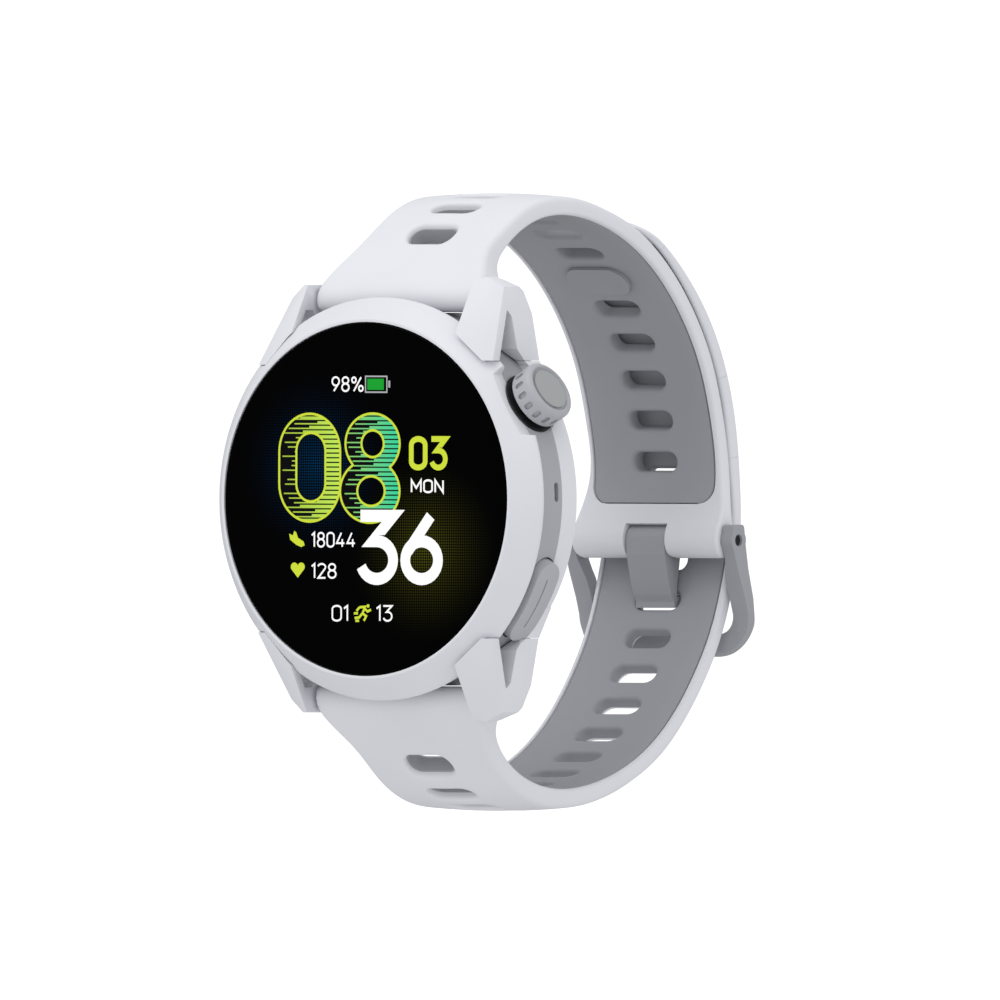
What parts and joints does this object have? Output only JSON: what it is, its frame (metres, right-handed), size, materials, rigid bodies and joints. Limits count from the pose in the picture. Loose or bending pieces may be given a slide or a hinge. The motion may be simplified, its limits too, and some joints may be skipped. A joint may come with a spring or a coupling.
{
  "type": "gps running watch",
  "caption": "Round GPS running watch with a turning crown, a side button, four V-shaped lugs and a slotted two-layer strap closed on a pin buckle.",
  "frame": {"origin": "centre of the optical sensor window's flat face, which rests on the wrist", "axes": "+Z towards 12 o'clock, +X towards 3 o'clock (crown side), +Y away from the dial, out of the wrist face"},
  "size_m": [0.0439, 0.0563, 0.0665],
  "materials": {
    "bezel": "satin white polymer",
    "case": "satin light grey polymer",
    "glass_black": "polished black glass",
    "seal": "matt",
    "display": "gloss",
    "frame_grey": "matt",
    "antenna": "satin",
    "board": "satin",
    "shield": "satin",
    "battery": "foil",
    "steel": "brushed",
    "steel_dark": "satin",
    "crown": "satin grey lilac",
    "crown_cap": "spun satin",
    "back": "satin",
    "lens": "polished",
    "led": "clear",
    "diode": "gloss",
    "gold": "plated",
    "strap": "matt silicone",
    "liner": "matt silicone",
    "buckle": "satin"
  },
  "bodies": {
    "watch": {"bezel_ring": "bezel", "cover_glass": "glass_black", "mid_case": "case", "lug_frame": "bezel", "back_cover": "back", "case_screws": "steel", "glass_gasket": "seal", "display_panel": "display", "inner_frame": "frame_grey", "gps_antenna": "antenna", "main_board": "board", "board_shields": "shield", "battery": "battery", "vibration_motor": "steel", "pressure_sensor": "shield", "microphone": "shield", "back_gasket": "seal", "sensor_board": "board", "sensor_leds": "led", "photodiodes": "diode", "sensor_window": "lens", "charging_contacts": "gold", "crown_tube": "steel_dark", "crown_encoder": "shield", "crown_switch": "steel_dark", "button_seals": "seal", "button_switch": "steel_dark", "button_bracket": "steel", "upper_strap": "strap", "upper_liner": "liner", "keeper_stud": "liner", "lower_strap": "strap", "lower_liner": "liner", "upper_spring_bar": "steel", "lower_spring_bar": "steel", "bar_springs": "steel", "buckle_pin": "steel_dark"},
    "crown_wheel": {"crown_wheel": "steel"},
    "crown": {"crown_knob": "crown", "crown_cap": "crown_cap", "crown_stem": "steel", "crown_seals": "seal"},
    "button": {"button_cap": "crown"},
    "buckle": {"buckle_frame": "buckle"},
    "tongue": {"buckle_tongue": "buckle"},
    "tail": {"strap_tail": "strap", "tail_liner": "liner"},
    "upper_release": {"upper_bar_release": "steel"},
    "lower_release": {"lower_bar_release": "steel"}
  },
  "joints": [
    {"name": "crown_turn", "type": "hinge", "parent": "watch", "child": "crown_wheel", "pos_m": [0.01516, -0.00745, 0.00875], "axis": [0.866, 0, 0.5], "continuous": true},
    {"name": "crown_press", "type": "slide", "parent": "crown_wheel", "child": "crown", "axis": [-0.866, 0, -0.5], "range_m": [0, 0.0005], "stiffness_N_per_m": 1500, "springref_m": -0.0004},
    {"name": "button_press", "type": "slide", "parent": "watch", "child": "button", "axis": [-0.8536, 0, 0.521], "range_m": [0, 0.0005], "stiffness_N_per_m": 1500, "springref_m": -0.0004},
    {"name": "buckle_swing", "type": "hinge", "parent": "watch", "child": "buckle", "pos_m": [0, 0.03875, -0.0044], "axis": [1, 0, 0], "range_deg": [0, 60]},
    {"name": "tongue_swing", "type": "hinge", "parent": "watch", "child": "tongue", "pos_m": [0, 0.03875, -0.0044], "axis": [-1, 0, 0], "range_deg": [0, 35]},
    {"name": "tail_flex", "type": "hinge", "parent": "watch", "child": "tail", "pos_m": [0, 0.04335, -0.0037], "axis": [-1, 0, 0], "range_deg": [0, 25], "stiffness_Nm_per_rad": 0.02},
    {"name": "upper_release_slide", "type": "slide", "parent": "watch", "child": "upper_release", "axis": [1, 0, 0], "range_m": [0, 0.0013], "stiffness_N_per_m": 600, "springref_m": -0.0005},
    {"name": "lower_release_slide", "type": "slide", "parent": "watch", "child": "lower_release", "axis": [1, 0, 0], "range_m": [0, 0.0013], "stiffness_N_per_m": 600, "springref_m": -0.0005}
  ]
}
